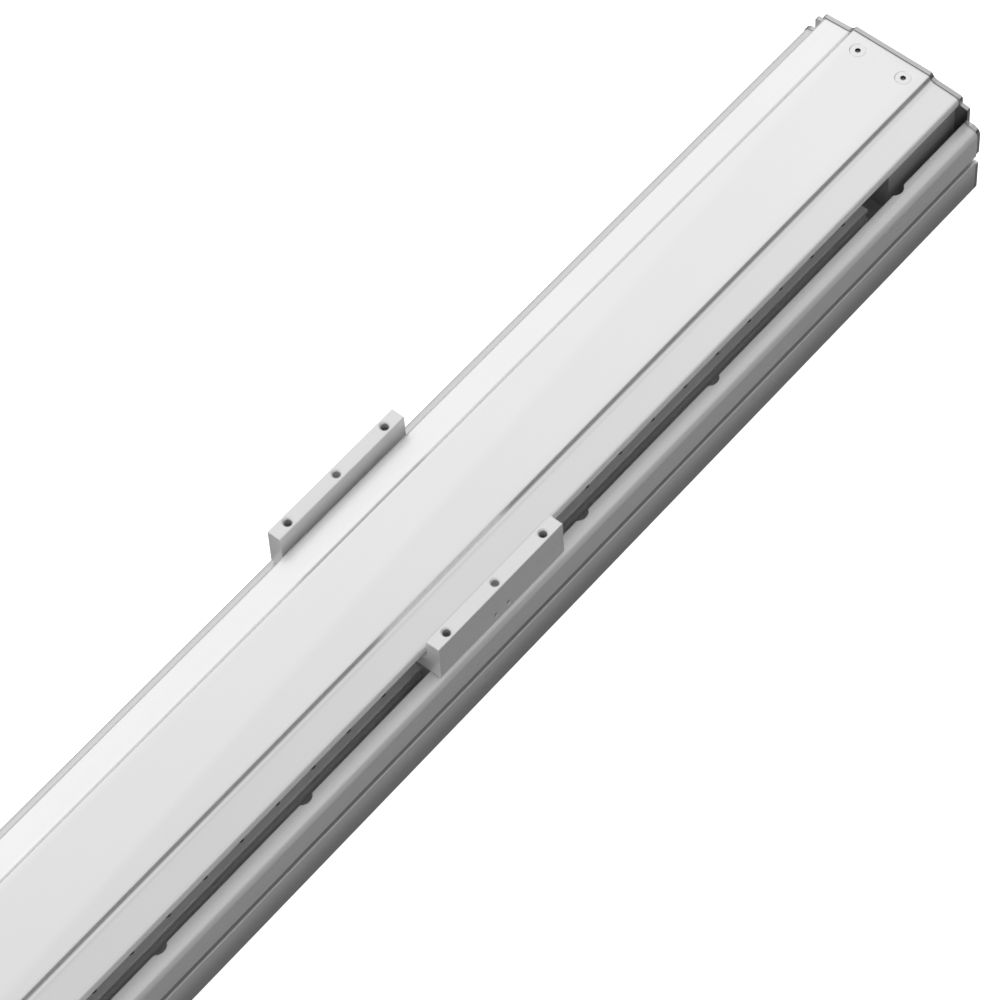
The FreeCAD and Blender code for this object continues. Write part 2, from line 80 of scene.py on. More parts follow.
# A hexagon's corner lies this much further out than its flats, and radii this near are the same.
HEXAGON_CORNER = 2 / math.sqrt(3)
NEARLY = 1.0001

# Where painted shade begins on the base and where it is full, in metres from the face it is named for.
SHADE_FROM_SIDE = (0.0007, 0.0020)
SHADE_FROM_TOP = (0.0055, 0.0095)
SHADE_FROM_UNDERSIDE = (0.0005, 0.0020)
SHADE_ABOVE_FOOT = (0.046, 0.010)

# How dark the painted shade is inside the slots and the channel, and at the foot.
SHADE_INSIDE = 0.48
SHADE_AT_FOOT = 0.46

# Where the cover's bright face ends and where its matt rim begins, in metres from its side.
RIM_EDGE = (0.0030, 0.0005)

# Where the painted shade in a dowel hole begins and where it is full: in squared radii of the hole
# from its axis, and in metres under its mouth; and how dark that painted shade is.
HOLE_SHADE_REACH = (1.10, 1.02)
HOLE_SHADE_DEPTH = (0.0, 0.0010)
HOLE_SHADE = 0.30

# Factors on a noise's coordinates: even all ways, or so small along X that it turns into lines.
EVEN = (1, 1, 1)
DIE_LINES = (0.01, 1, 1)
GRINDING_LINES = (0.02, 1, 1)

WHITE = (1, 1, 1, 1)

# Where the parts of the sky begin and end, by the height or the side of a direction of length 1.
SIDE_CHANGE = (-0.15, 0.15)
WALL_RISE = (0.40, 0.66)
WALL_FALL = (0.70, 0.84)
SLOPE_RISE = (0.12, 0.62)
CEILING_RISE = (0.80, 0.96)


def length(name, description, default):
    return FloatProperty(name=name, description=description, default=default, unit="LENGTH", precision=5)


def colour(name, description, default):
    return FloatVectorProperty(
        name=name, description=description, default=default, size=4, subtype="COLOR", min=0, max=1
    )


def share(name, description, default):
    return FloatProperty(
        name=name, description=description, default=default, subtype="FACTOR", min=0, max=1
    )


def level(name, description, default):
    return FloatProperty(name=name, description=description, default=default, min=0)


def angle(name, description, degrees):
    return FloatProperty(
        name=name, description=description, default=math.radians(degrees), subtype="ANGLE"
    )


def count(name, description, default):
    return IntProperty(name=name, description=description, default=default, min=1)


class ScrewSizes(bpy.types.PropertyGroup):
    """Sizes of the screws that are drawn with the looks."""

    cover_end: length("Cover Screw From End", "From the cover's end to the screw", 0.0182)
    cover_side: length("Cover Screw From Middle", "From the centre line to the screw", 0.0284)
    cover_head: length("Cover Screw Head", "Radius of the countersunk head", 0.0080)
    cover_shank: length("Cover Screw Shank", "Radius of the shank", 0.0040)
    cover_depth: length("Cover Screw Depth", "Height of the countersunk head", 0.0033)
    cover_socket: length("Cover Screw Socket", "Half the width across the socket's flats", 0.0025)
    cover_sink: length("Cover Screw Sink", "How far the head lies under the cover's face", 0.0004)
    cover_bore: length("Cover Bore", "From the cover's face to the end of the bore", 0.0111)
    cover_reach: length("Cover Screw Reach", "From the cover's face to the end of the shank", 0.0148)
    rail_pitch: length("Rail Bolt Pitch", "From one rail bolt to the next", 0.050)
    rail_first: length("First Rail Bolt", "From the rail's drive end to its first bolt", 0.020)
    rail_head: length("Rail Bolt Head", "Radius of the bolt's head", 0.0046)
    rail_depth: length("Rail Counterbore Depth", "Depth of the counterbore", 0.0060)
    rail_under: length("Rail Bolt Under Face", "How far the head lies under the rail's top", 0.0012)
    rail_socket: length("Rail Bolt Socket", "Half the width across the socket's flats", 0.0022)
    flange_circle: length("Flange Screw Circle", "Radius of the circle of flange screws", 0.0415)
    flange_head: length("Flange Screw Head", "Radius of the screw's head", 0.0042)
    flange_depth: length("Flange Counterbore Depth", "Depth of the counterbore", 0.0065)
    flange_under: length("Flange Screw Under Face", "How far the head lies under the face", 0.0004)
    flange_socket: length("Flange Screw Socket", "Half the width across the socket's flats", 0.0020)
    table_pitch: length("Slider Thread Pitch", "Pitch of the threads in the slider's top", 0.0015)
    table_thread: length("Slider Thread Length", "Length of a thread in the slider's top", 0.0195)
    flag_pitch: length("Flag Thread Pitch", "Pitch of the threads in the slider's side", 0.0010)
    flag_thread: length("Flag Thread Length", "Length of a thread in the slider's side", 0.0060)
    thread_height: length("Thread Height", "How far a thread stands into its hole", 0.0003)
    thread_bite: length("Thread Bite", "How far a thread's root lies in the wall of its hole", 0.00005)
    gap: length("Gap", "Between a screw head and its sink", 0.0003)
    edge: length("Screw Edge", "Bevel on a screw's edges", 0.0003)
    segments: count("Segments", "Sides of a round piece", 48)
    small_segments: count("Small Segments", "Sides of a small round piece", 24)


class BeltSizes(bpy.types.PropertyGroup):
    """Sizes of the belt's teeth."""

    pitch: length("Pitch", "From one tooth to the next", 0.010)
    root_half: length("Root Half", "Half a tooth's length at its root", 0.00265)
    height: length("Height", "Height of a tooth", 0.0025)
    back: length("Back", "Thickness of the belt without its teeth", 0.0020)
    bite: length("Bite", "How far a tooth reaches into the belt", 0.0002)
    slope: angle("Slope", "Slope of a tooth's sides", 20)
    wrapped: count("Wrapped Teeth", "Teeth round each pulley", 10)


class FinishColours(bpy.types.PropertyGroup):
    """Colours of the finishes."""

    body: colour("Body", "Clear anodised aluminium of the base", (0.80, 0.802, 0.806, 1))
    slider: colour("Slider", "Clear anodised aluminium of the slider", (0.89, 0.89, 0.894, 1))
    cover: colour("Cover", "Clear anodised aluminium of the cover", (0.865, 0.865, 0.866, 1))
    rail: colour("Rail", "Ground steel of the rails and shafts", (0.86, 0.86, 0.87, 1))
    coating: colour("Coating", "Dark coating of the end pieces", (0.050, 0.050, 0.053, 1))
    plate: colour("Plate", "Grey coating of the end plates", (0.50, 0.50, 0.505, 1))
    block: colour("Block", "Dark anodised aluminium of the end blocks", (0.44, 0.44, 0.442, 1))
    screw: colour("Screw", "Steel of the screws", (0.30, 0.30, 0.31, 1))
    rubber: colour("Rubber", "Belt and bumpers", (0.022, 0.022, 0.023, 1))
    plastic: colour("Plastic", "End caps of the guide blocks", (0.50, 0.50, 0.49, 1))
    body_metal: share("Body Metal", "How metallic the base looks", 0.20)
    slider_metal: share("Slider Metal", "How metallic the slider looks", 0.30)
    cover_metal: share("Cover Metal", "How metallic the cover looks", 0.90)
    rim_metal: share("Rim Metal", "How metallic the cover's rims look", 0.20)
    block_metal: share("Block Metal", "How metallic the end blocks look", 0.20)
    body_roughness: share("Body Roughness", "Roughness of the anodised aluminium", 0.28)
    cover_roughness: share("Cover Roughness", "Roughness of the cover", 0.35)
    block_roughness: share("Block Roughness", "Roughness of the end blocks", 0.42)
    plate_roughness: share("Plate Roughness", "Roughness of the end plates", 0.18)


class StudioSettings(bpy.types.PropertyGroup):
    """Floor, lights and camera."""

    floor: colour("Floor", "Colour of the floor", (0.93, 0.93, 0.93, 1))
    floor_size: length("Floor Size", "Length of the floor's side", 24.0)
    card: colour("Card", "Colour of the card that the module mirrors", (0.26, 0.26, 0.26, 1))
    card_drop: length("Card Drop", "From the floor down to the card", 0.0002)
    floor_glow: level("Floor Glow", "Light that the floor gives off", 0.85)
    wall_low: level("Low Wall", "Light of the motor side's wall near the horizon", 0.78)
    wall_high: level("High Wall", "Light of the motor side's wall higher up", 1.26)
    wall_fall: level("Wall Fall", "How much that wall's light falls towards the ceiling", 0.28)
    slope: level("Slope", "Light of the other side, under the ceiling", 0.88)
    ceiling: level("Ceiling", "Light of the ceiling", 0.54)
    lamp_spot: FloatVectorProperty(
        name="Lamp", description="Place of the lamp", default=(0, 9, 7), subtype="XYZ", unit="LENGTH"
    )
    lamp_size: length("Lamp Size", "Side of the square lamp", 6.0)
    lamp_power: level("Lamp Power", "Power of the lamp in watts", 30.0)
    azimuth: angle("Azimuth", "Camera's turn round the module", -46.99)
    elevation: angle("Elevation", "Camera's angle above the floor", 56.19)
    roll: angle("Roll", "Camera's turn about its own axis", -3.73)
    distance: length("Distance", "From the aim point to the camera", 4.42312)
    aside: length("Aside", "Camera's shift to its right", 0.08893)
    above: length("Above", "Camera's shift along its upright", -0.11375)
    aim_height: length("Aim Height", "Height of the point the camera turns round", 0.39512)
    lens: FloatProperty(name="Lens", description="Focal length in millimetres", default=177.67, min=1)
    sensor: FloatProperty(name="Sensor", description="Sensor's width in millimetres", default=36, min=1)
    sight: length("Sight", "How far the camera sees", 100.0)


class Amount:
    """A number on a socket. An expression of amounts and plain numbers adds its Math nodes."""

    def __init__(self, nodes, socket):
        self.nodes = nodes
        self.socket = socket

    def worked(self, operation, first, second):
        made = self.nodes.node("ShaderNodeMath", {"operation": operation}, {0: first, 1: second})
        return Amount(self.nodes, made.outputs[0])

    def __add__(self, other):
        return self.worked("ADD", self, other)

    def __radd__(self, other):
        return self.worked("ADD", other, self)

    def __sub__(self, other):
        return self.worked("SUBTRACT", self, other)

    def __rsub__(self, other):
        return self.worked("SUBTRACT", other, self)

    def __mul__(self, other):
        return self.worked("MULTIPLY", self, other)

    def __rmul__(self, other):
        return self.worked("MULTIPLY", other, self)

    def __abs__(self):
        return self.worked("ABSOLUTE", self, 0.0)


class Nodes:
    """A node tree that is written as expressions."""

    def __init__(self, tree):
        self.tree = tree

    def node(self, kind, settings=None, inputs=None):
        """A node of that kind, with its settings, and values or links on its sockets."""
        made = self.tree.nodes.new(kind)
        for name, value in (settings or {}).items():
            setattr(made, name, value)
        for name, value in (inputs or {}).items():
            self.feed(made.inputs[name], value)
        return made

    def feed(self, socket, value):
        source = value.socket if isinstance(value, Amount) else value
        if isinstance(source, bpy.types.NodeSocket):
            self.tree.links.new(source, socket)
        else:
            socket.default_value = source

    def ramp(self, value, start, end, low, high):
        """Smooth change from low to high while the value goes from start to end."""
        made = self.node(
            "ShaderNodeMapRange",
            {"interpolation_type": "SMOOTHSTEP"},
            {"Value": value, "From Min": start, "From Max": end, "To Min": low, "To Max": high},
        )
        return Amount(self, made.outputs[0])


class Finish(Nodes):
    """Node material of one finish, on object coordinates."""

    def __init__(self, name, metallic, **constants):
        if name in bpy.data.materials:
            raise RuntimeError(f"there is already a material called {name}")
        self.material = bpy.data.materials.new(name)
        self.material.use_nodes = True
        super().__init__(self.material.node_tree)
        self.shader = self.tree.nodes["Principled BSDF"]
        self.shader.inputs["Metallic"].default_value = metallic
        for socket, value in constants.items():
            self.shader.inputs[socket.replace("_", " ").title()].default_value = value
        self.place = self.node("ShaderNodeTexCoord").outputs["Object"]

    def along(self, axis):
        """Place along one axis of the object."""
        parts = self.node("ShaderNodeSeparateXYZ", inputs={0: self.place})
        return Amount(self, parts.outputs[axis])

    def noise(self, factors, scale, detail=3.0, roughness=0.55):
        """Noise from 0 to 1 on object coordinates, with a factor for each axis."""
        spread = self.node("ShaderNodeMapping", inputs={"Vector": self.place, "Scale": factors})
        inputs = {"Vector": spread.outputs[0], "Scale": scale, "Detail": detail, "Roughness": roughness}
        made = self.node("ShaderNodeTexNoise", inputs=inputs)
        return Amount(self, made.outputs["Fac"])

    def tint(self, base, factor, darker):
        """Base colour that varies between the base and a darker shade of it."""
        shade = [channel * darker for channel in base[:3]] + [1]
        made = self.node(
            "ShaderNodeMix", {"data_type": "RGBA"}, {"Factor": factor, 6: list(base), 7: shade}
        )
        self.feed(self.shader.inputs["Base Color"], made.outputs[2])

    def roughen(self, amount):
        self.feed(self.shader.inputs["Roughness"], amount)

    def emboss(self, height, strength, distance=0.0002):
        made = self.node(
            "ShaderNodeBump", inputs={"Height": height, "Strength": strength, "Distance": distance}
        )
        self.feed(self.shader.inputs["Normal"], made.outputs[0])


def drawn(finish, roughness):
    """Faint die lines along the length and a faint cloudiness: in the roughness, and as an amount."""
    lines = finish.noise(DIE_LINES, scale=120.0, detail=2.0)
    cloud = finish.noise(EVEN, scale=9.0)
    finish.roughen(roughness - 0.03 + 0.02 * lines + 0.04 * cloud)
    return 0.4 * lines + 0.6 * cloud


def cover_aluminium(name, base, roughness, metallic, rim_metallic):
    """The cover's extrusion, more matt on the outer faces of its rims."""
    finish = Finish(name, metallic)
    finish.tint(base, drawn(finish, roughness), darker=0.98)
    inwards = COVER_HIGH.y - abs(finish.along("Y"))
    amount = finish.ramp(inwards, *RIM_EDGE, metallic, rim_metallic)
    finish.feed(finish.shader.inputs["Metallic"], amount)
    return finish.material


def body_aluminium(name, base, roughness, metallic):
    """The base's extrusion, with painted shade inside its slots and channel and towards its foot."""
    finish = Finish(name, metallic)
    inwards = BASE_HIGH.y - abs(finish.along("Y"))
    under_top = BASE_HIGH.z - finish.along("Z")
    above_foot = finish.along("Z") - BASE_LOW.z
    # Painted shade: darker inside the slots and the channel, and darker towards the foot.
    inside = finish.ramp(inwards, *SHADE_FROM_SIDE, 0.0, 1.0)
    inside = inside * finish.ramp(under_top, *SHADE_FROM_TOP, 0.0, 1.0)
    inside = inside * finish.ramp(above_foot, *SHADE_FROM_UNDERSIDE, 0.0, 1.0)
    foot = finish.ramp(above_foot, *SHADE_ABOVE_FOOT, 0.0, 1.0)
    painted_shade = SHADE_INSIDE * inside + SHADE_AT_FOOT * foot * (1.0 - inside)
    finish.tint(base, painted_shade + 0.04 * drawn(finish, roughness), darker=0.1)
    return finish.material


def milled(finish, roughness):
    """An even, fine grain and a faint cloudiness: in the roughness and bumps, and as amounts."""
    grain = finish.noise(EVEN, scale=1400.0, detail=2.0)
    cloud = finish.noise(EVEN, scale=14.0)
    finish.roughen(roughness - 0.04 + 0.05 * grain + 0.04 * cloud)
    finish.emboss(grain, strength=0.02)
    return grain, cloud


def milled_aluminium(name, base, roughness, metallic):
    """Anodised milled plate."""
    finish = Finish(name, metallic)
    grain, cloud = milled(finish, roughness)
    finish.tint(base, 0.5 * grain + 0.5 * cloud, darker=0.94)
    return finish.material


def slider_aluminium(name, base, roughness, metallic):
    """The slider's milled plate, with painted shade in its dowel holes."""
    finish = Finish(name, metallic)
    grain, cloud = milled(finish, roughness)
    mount = bolt_pattern("slider_dowel_holes")
    radius = mount["dims"]["hole_r_mm"] / MM_PER_M
    across = finish.along("X") * (1 / radius)
    half_spacing = mount["dims"]["spacing_y_mm"] / MM_PER_M / 2
    aside = (abs(finish.along("Y")) - half_spacing) * (1 / radius)
    depth = mount["pos_m"][2] - finish.along("Z")
    # Painted shade: darker inside the dowel holes.
    hole_shade = finish.ramp(across * across + aside * aside, *HOLE_SHADE_REACH, 0.0, 1.0)
    hole_shade = hole_shade * finish.ramp(depth, *HOLE_SHADE_DEPTH, 0.0, 1.0)
    finish.tint(base, 0.04 * (grain + cloud) + HOLE_SHADE * hole_shade, darker=0.1)
    return finish.material


def ground_steel(name, base):
    """Ground rail and shaft steel with grinding lines."""
    finish = Finish(name, metallic=0.3)
    lines = finish.noise(GRINDING_LINES, scale=1600.0, detail=3.0)
    finish.tint(base, lines, darker=0.82)
    finish.roughen(0.24 + 0.14 * lines)
    finish.emboss(lines, strength=0.08)
    return finish.material


def dark_coating(name, base, metallic):
    """Dark coating with a fine grain."""
    finish = Finish(name, metallic)
    grain = finish.noise(EVEN, scale=2200.0, detail=2.0)
    cloud = finish.noise(EVEN, scale=20.0)
    finish.tint(base, 0.6 * grain + 0.4 * cloud, darker=0.75)
    finish.roughen(0.46 + 0.12 * grain)
    finish.emboss(grain, strength=0.12)
    return finish.material


def screw_steel(name, base):
    finish = Finish(name, metallic=1.0)
    grain = finish.noise(EVEN, scale=1800.0, detail=2.0)
    finish.tint(base, grain, darker=0.7)
    finish.roughen(0.28 + 0.16 * grain)
    return finish.material


def moulded_rubber(name, base):
    finish = Finish(name, metallic=0.0)
    grain = finish.noise(EVEN, scale=1500.0, detail=4.0)
    finish.tint(base, grain, darker=0.6)
    finish.roughen(0.66 + 0.16 * grain)
    finish.emboss(grain, strength=0.2)
    return finish.material


def moulded_plastic(name, base):
    finish = Finish(name, metallic=0.0)
    grain = finish.noise(EVEN, scale=1100.0, detail=2.0)
    finish.tint(base, grain, darker=0.8)
    finish.roughen(0.40 + 0.1 * grain)
    return finish.material


def turned(profile, segments, hexagon=0.0):
    """Mesh turned about Z from (radius, height) points, six-sided and shaded inside the hexagon."""
    bm = bmesh.new()
    points = [bm.verts.new((radius, 0, height)) for radius, height in profile]
    edges = [bm.edges.new(pair) for pair in zip(points, points[1:])]
    whole = 2 * math.pi
    bmesh.ops.spin(
        bm, geom=points + edges, cent=(0, 0, 0), axis=UP, angle=whole, steps=segments, use_merge=True
    )
    bmesh.ops.remove_doubles(bm, verts=bm.verts, dist=TURNED_MERGE)
    for vertex in bm.verts:
        if vertex.co.xy.length < hexagon * NEARLY:
            turn = math.atan2(vertex.co.y, vertex.co.x)
            vertex.co.xy /= math.cos((turn + math.pi / 6) % (math.pi / 3) - math.pi / 6)
    for face in bm.faces:
        reach = max(vertex.co.xy.length for vertex in face.verts)
        face.material_index = int(reach < hexagon * HEXAGON_CORNER * NEARLY)
    bmesh.ops.recalc_face_normals(bm, faces=bm.faces)
    mesh = bpy.data.meshes.new("turned")
    bm.to_mesh(mesh)
    bm.free()
    return mesh


def socket_screw(sizes, head, depth, under, socket):
    """Outline of a socket head in its counterbore."""
    return [
        (0, -depth),
        (head, -depth),
        (head, -under - sizes.edge),
        (head - sizes.edge, -under),
        (socket + sizes.edge, -under),
        (socket, -under - sizes.edge),
        (socket, -(depth + under) / 2),
        (0, -(depth + under) / 2),
    ]


def stamped(mesh, places):
    """Bmesh with a copy of the mesh at each place. The mesh itself is used up."""
    bm = bmesh.new()
    for place in places:
        copy = mesh.copy()
        copy.transform(place)
        bm.from_mesh(copy)
        bpy.data.meshes.remove(copy)
    bpy.data.meshes.remove(mesh)
    return bm


def bolt_pattern(name):
    """One of the record's mounts."""
    return next(mount for mount in frame["record"]["mounts"] if mount["name"] == name)


def standing(spots, axis):
    """Places at the spots, with Z along the axis."""
    turn = axis.to_track_quat("Z", "Y").to_matrix().to_4x4()
    return [Matrix.Translation(spot) @ turn for spot in spots]


def merged(node):
    """Bmesh of a CAD node with its loose triangles joined."""
    bm = bmesh.new()
    bm.from_mesh(frame["nodes"][node].data)
    bmesh.ops.remove_doubles(bm, verts=bm.verts, dist=NODE_MERGE)
    return bm


def smooth(bm):
    """Smooth shading, with sharp edges left sharp."""
    for face in bm.faces:
        face.smooth = True
    for edge in bm.edges:
        edge.smooth = len(edge.link_faces) == 2 and edge.calc_face_angle() < SHARP


def placed(bm, name, finish, body):
    """Object at the origin that rides on a body, with its place in its mesh."""
    bmesh.ops.recalc_face_normals(bm, faces=bm.faces)
    smooth(bm)
    mesh = bpy.data.meshes.new(name)
    bm.to_mesh(mesh)
    bm.free()
    made = bpy.data.objects.new(name, mesh)
    mesh.materials.append(bpy.data.materials[finish])
    if any(polygon.material_index for polygon in mesh.polygons):
        mesh.materials.append(bpy.data.materials["socket_shade"])
    bpy.context.scene.collection.objects.link(made)
    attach(made, body)
    return made


def carved(node, cutter, name, finish):
    """Copy of one of the base's nodes without the cutter's volumes, which stands for the node."""
    made = placed(merged(node), name, finish, "base")
    tool_mesh = bpy.data.meshes.new("cutter")
    cutter.to_mesh(tool_mesh)
    cutter.free()
    tool = bpy.data.objects.new("cutter", tool_mesh)
    bpy.context.scene.collection.objects.link(tool)
    cut = made.modifiers.new("cut", "BOOLEAN")
    cut.operation = "DIFFERENCE"
    cut.solver = "EXACT"
    cut.object = tool
    graph = bpy.context.evaluated_depsgraph_get()
    result = bpy.data.meshes.new_from_object(made.evaluated_get(graph))
    made.modifiers.clear()
    bpy.data.objects.remove(tool)
    if len(result.polygons) <= len(made.data.polygons):
        raise RuntimeError(f"{node} was not carved")
    bm = bmesh.new()
    bm.from_mesh(result)
    smooth(bm)
    bm.to_mesh(result)
    bm.free()
    made.data = result
    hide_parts(node)
    return made


class MODULE_OT_finishes(bpy.types.Operator):
    """Make the finishes and give each CAD node its own"""

    bl_idname = "module.finishes"
    bl_label = "Finishes"

    def execute(self, context):
        colours = context.scene.module_colours
        cover, cover_roughness, cover_metal = colours.cover, colours.cover_roughness, colours.cover_metal
        body_aluminium("body_aluminium", colours.body, colours.body_roughness, colours.body_metal)
        cover_aluminium("bright_cover", cover, cover_roughness, cover_metal, colours.rim_metal)
        slider_aluminium("slider_aluminium", colours.slider, colours.body_roughness, colours.slider_metal)
        ground_steel("ground_steel", colours.rail)
        dark_coating("dark_coating", colours.coating, metallic=0.0)
        milled_aluminium("plate_coating", colours.plate, colours.plate_roughness, metallic=1.0)
        milled_aluminium("block_aluminium", colours.block, colours.block_roughness, colours.block_metal)
        # The slider's threads take the end blocks' darker colour as painted shade in their holes.
        milled_aluminium("thread_shade_aluminium", colours.block, colours.body_roughness, colours.block_metal)
        milled_aluminium("cover_screw_steel", cover, cover_roughness, cover_metal)
        dark_coating("socket_shade", colours.coating, metallic=0.0)
        screw_steel("screw_steel", colours.screw)
        moulded_rubber("moulded_rubber", colours.rubber)
        moulded_plastic("moulded_plastic", colours.plastic)
        by_slot = {
            "anodised_aluminium": "slider_aluminium",
            "cover_aluminium": "bright_cover",
            "rail_steel": "ground_steel",
            "plate_metal": "plate_coating",
            "dark_coated_metal": "dark_coating",
            "bolt_steel": "screw_steel",
            "black_rubber": "moulded_rubber",
            "cap_plastic": "moulded_plastic",
        }
        by_node = {
            "base_extrusion": "body_aluminium",
            "drive_end_block": "block_aluminium",
            "idler_end_block": "block_aluminium",
        }
        for entry in frame["record"]["subparts"]:
            node = frame["nodes"][entry["node"]]
            finish = by_node.get(entry["node"], by_slot[entry["material_slot"]])
            node.data.materials.clear()
            node.data.materials.append(bpy.data.materials[finish])
        return {"FINISHED"}


class MODULE_OT_cover_screws(bpy.types.Operator):
    """Countersink the cover and set its four screws"""

    bl_idname = "module.cover_screws"
    bl_label = "Cover Screws"

    def execute(self, context):
        sizes = context.scene.module_screws
        ends = (COVER_LOW.x + sizes.cover_end, COVER_HIGH.x - sizes.cover_end)
        sides = (-sizes.cover_side, sizes.cover_side)
        spots = [Vector((x, y, COVER_HIGH.z)) for x in ends for y in sides]
        places = standing(spots, UP)
        shank, head, sunk = sizes.cover_shank, sizes.cover_head, sizes.cover_sink
        deep = -sizes.cover_depth - sunk
        wide = head + sizes.gap + sunk * (head - shank) / sizes.cover_depth
        sink = [
            (0, -sizes.cover_bore),
            (shank + sizes.gap, -sizes.cover_bore),
            (shank + sizes.gap, deep),
            (wide, 0),
            (wide, sizes.cover_depth),
            (0, sizes.cover_depth),
        ]
        screw = [
            (0, -sizes.cover_reach),
            (shank, -sizes.cover_reach),
            (shank, deep),
            (head, -sunk - sizes.edge),
            (head - sizes.edge, -sunk),
            (sizes.cover_socket + sizes.edge, -sunk),
            (sizes.cover_socket, -sunk - sizes.edge),
            (sizes.cover_socket, deep),
            (0, deep),
        ]
        sinks = stamped(turned(sink, sizes.segments), places)
        screws = stamped(turned(screw, sizes.segments, sizes.cover_socket + sizes.edge), places)
        carved("top_cover", sinks, "cover_with_countersinks", "bright_cover")
        placed(screws, "cover_screws", "cover_screw_steel", "base")
        return {"FINISHED"}


class MODULE_OT_rail_bolts(bpy.types.Operator):
    """Counterbore the guide rails and set their bolts"""

    bl_idname = "module.rail_bolts"
    bl_label = "Rail Bolts"

    def execute(self, context):
        sizes = context.scene.module_screws
        bolts = int((RAIL_HIGH.x - RAIL_LOW.x - sizes.rail_first) / sizes.rail_pitch) + 1
        xs = [RAIL_LOW.x + sizes.rail_first + index * sizes.rail_pitch for index in range(bolts)]
        middle = (RAIL_LOW.y + RAIL_HIGH.y) / 2
        sides = {"guide_rail_left": middle, "guide_rail_right": -middle}
        deep = sizes.rail_depth
        wide = sizes.rail_head + sizes.gap
        sink = [(0, -deep), (wide, -deep), (wide, deep), (0, deep)]
        outline = socket_screw(sizes, sizes.rail_head, deep, sizes.rail_under, sizes.rail_socket)
        places = []
        for node, y in sides.items():
            rows = standing([Vector((x, y, RAIL_HIGH.z)) for x in xs], UP)
            sinks = stamped(turned(sink, sizes.small_segments), rows)
            carved(node, sinks, node + "_counterbored", "ground_steel")
            places += rows
        screws = stamped(turned(outline, sizes.small_segments, sizes.rail_socket + sizes.edge), places)
        placed(screws, "rail_bolts", "screw_steel", "base")
        return {"FINISHED"}


class MODULE_OT_flange_screws(bpy.types.Operator):
    """Counterbore the motor flange and set its four screws"""

    bl_idname = "module.flange_screws"
    bl_label = "Flange Screws"

    def execute(self, context):
        sizes = context.scene.module_screws
        centre = (SHAFT_LOW + SHAFT_HIGH) / 2
        centre.y = FLANGE_HIGH.y
        spots = [centre + way * sizes.flange_circle for way in (IDLER_END, -IDLER_END, UP, -UP)]
        places = standing(spots, MOTOR_SIDE)
        deep = sizes.flange_depth
        wide = sizes.flange_head + sizes.gap
        sink = [(0, -deep), (wide, -deep), (wide, deep), (0, deep)]
        outline = socket_screw(sizes, sizes.flange_head, deep, sizes.flange_under, sizes.flange_socket)
        sinks = stamped(turned(sink, sizes.segments), places)
        screws = stamped(turned(outline, sizes.segments, sizes.flange_socket + sizes.edge), places)
        carved("motor_flange", sinks, "motor_flange_counterbored", "dark_coating")
        placed(screws, "flange_screws", "screw_steel", "base")
        return {"FINISHED"}


class MODULE_OT_belt_teeth(bpy.types.Operator):
    """Mould the teeth on the inside of the belt"""

    bl_idname = "module.belt_teeth"
    bl_label = "Belt Teeth"

    def execute(self, context):
        sizes = context.scene.module_belt
        back = (BELT_HIGH.z - BELT_LOW.z) / 2
        axis_x = BELT_HIGH.x - back
        axis_z = (BELT_HIGH.z + BELT_LOW.z) / 2
        root = back - sizes.back
        stations = []
        for index in range(round(2 * axis_x / sizes.pitch)):
            along = -axis_x + index * sizes.pitch
            stations += [(along, 0), (-along, math.pi)]
        for index in range(sizes.wrapped):
            turn = index * math.pi / sizes.wrapped
            stations += [(axis_x, turn), (-axis_x, math.pi + turn)]
        places = []
        for x, turn in stations:
            hub = Matrix.Translation((x, 0, axis_z)) @ Matrix.Rotation(turn, 4, "Y")
            places.append(hub @ Matrix.Translation((0, 0, root)))
        teeth = stamped(self.tooth(sizes, BELT_HIGH.y - BELT_LOW.y), places)
        mesh = bpy.data.meshes.new("teeth")
        teeth.to_mesh(mesh)
        teeth.free()
        bm = merged("timing_belt")
        bm.from_mesh(mesh)
        bpy.data.meshes.remove(mesh)
        made = placed(bm, "toothed_belt", "moulded_rubber", "base")
        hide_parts("timing_belt")
        return {"FINISHED"}

    @staticmethod
    def tooth(sizes, width):
        """One tooth that hangs from the belt's root line, and reaches a little into the belt."""
        bm = bmesh.new()
        bmesh.ops.create_cube(bm, size=1)
        for vertex in bm.verts:
            height = sizes.bite if vertex.co.z > 0 else -sizes.height
            half = sizes.root_half + height * math.tan(sizes.slope)
            vertex.co = Vector((2 * half * vertex.co.x, width * vertex.co.y, height))
        mesh = bpy.data.meshes.new("tooth")
        bm.to_mesh(mesh)
        bm.free()
        return mesh


